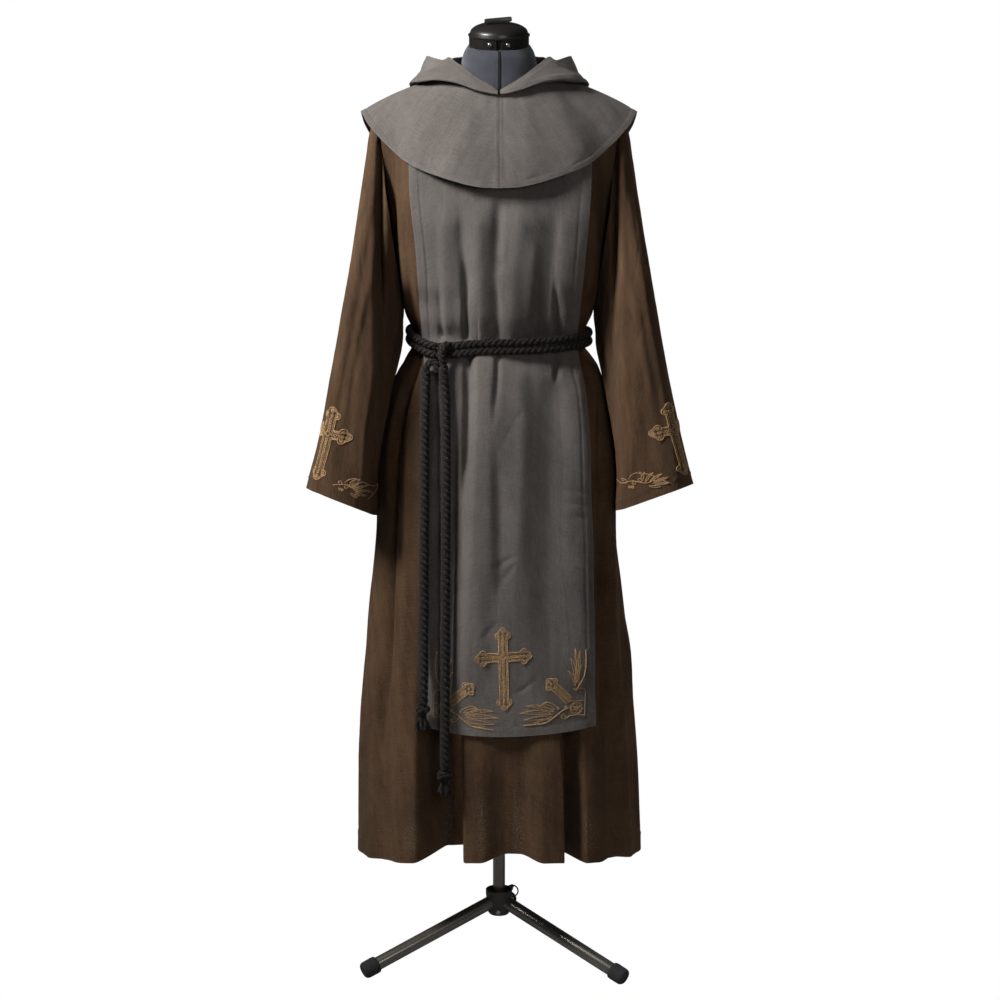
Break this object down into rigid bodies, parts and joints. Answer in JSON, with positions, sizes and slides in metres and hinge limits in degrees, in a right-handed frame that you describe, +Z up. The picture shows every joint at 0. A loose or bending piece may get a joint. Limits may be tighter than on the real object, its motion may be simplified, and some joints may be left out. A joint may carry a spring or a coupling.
{
  "type": "monk habit on dress form",
  "caption": "Brown linen tunic with wide sleeves, grey scapular, cape with hood and rope belt, on a limbless dress form with a tripod stand.",
  "frame": {"origin": "on the floor, under the middle of the whole part without its hanging rope ends", "axes": "+Z up, the front of the habit faces -Y, +X towards the viewer's right"},
  "size_m": [0.673, 0.4705, 1.6869],
  "materials": {
    "brown_linen": "washed brown linen, plain weave, matt",
    "grey_linen": "warm grey linen, plain weave, matt",
    "gold_thread": "dull gold embroidery thread, slightly glossy",
    "rope": "dark twisted cotton rope, matt",
    "jersey": "dark blue-grey knitted jersey over the form",
    "black_tape": "black woven tape",
    "black_plastic": "glossy black moulded plastic",
    "steel": "bright zinc-plated steel",
    "bronze_tube": "dark bronze-grey coated steel tube, satin",
    "dark_casting": "dark grey coated casting, satin",
    "rubber": "dark grey rubber, matt"
  },
  "bodies": {
    "root": {"tunic_front": "brown_linen", "tunic_back": "brown_linen", "sleeve_left": "brown_linen", "sleeve_right": "brown_linen", "scapular_front": "grey_linen", "scapular_back": "grey_linen", "cape_front_left": "grey_linen", "cape_front_right": "grey_linen", "cape_back": "grey_linen", "hood_left": "grey_linen", "hood_right": "grey_linen", "belt_wrap_upper": "rope", "belt_wrap_lower": "rope", "knot_loop": "rope", "knot_turn": "rope", "rope_left": "rope", "end_knot_left": "rope", "tassel_left": "rope", "rope_right": "rope", "end_knot_right": "rope", "tassel_right": "rope", "form_body": "jersey", "neck_strip": "black_tape", "neck_cap": "black_plastic", "cap_screw_left": "steel", "cap_screw_right": "steel", "cap_tab": "black_plastic", "pole_socket": "dark_casting", "pole": "bronze_tube", "hub": "dark_casting", "leg_1": "bronze_tube", "leg_2": "bronze_tube", "leg_3": "bronze_tube", "foot_1": "rubber", "foot_2": "rubber", "foot_3": "rubber", "hub_bolt_1": "steel", "hub_bolt_2": "steel", "hub_bolt_3": "steel", "lock_pin": "steel", "pin_ring": "steel"}
  },
  "joints": []
}
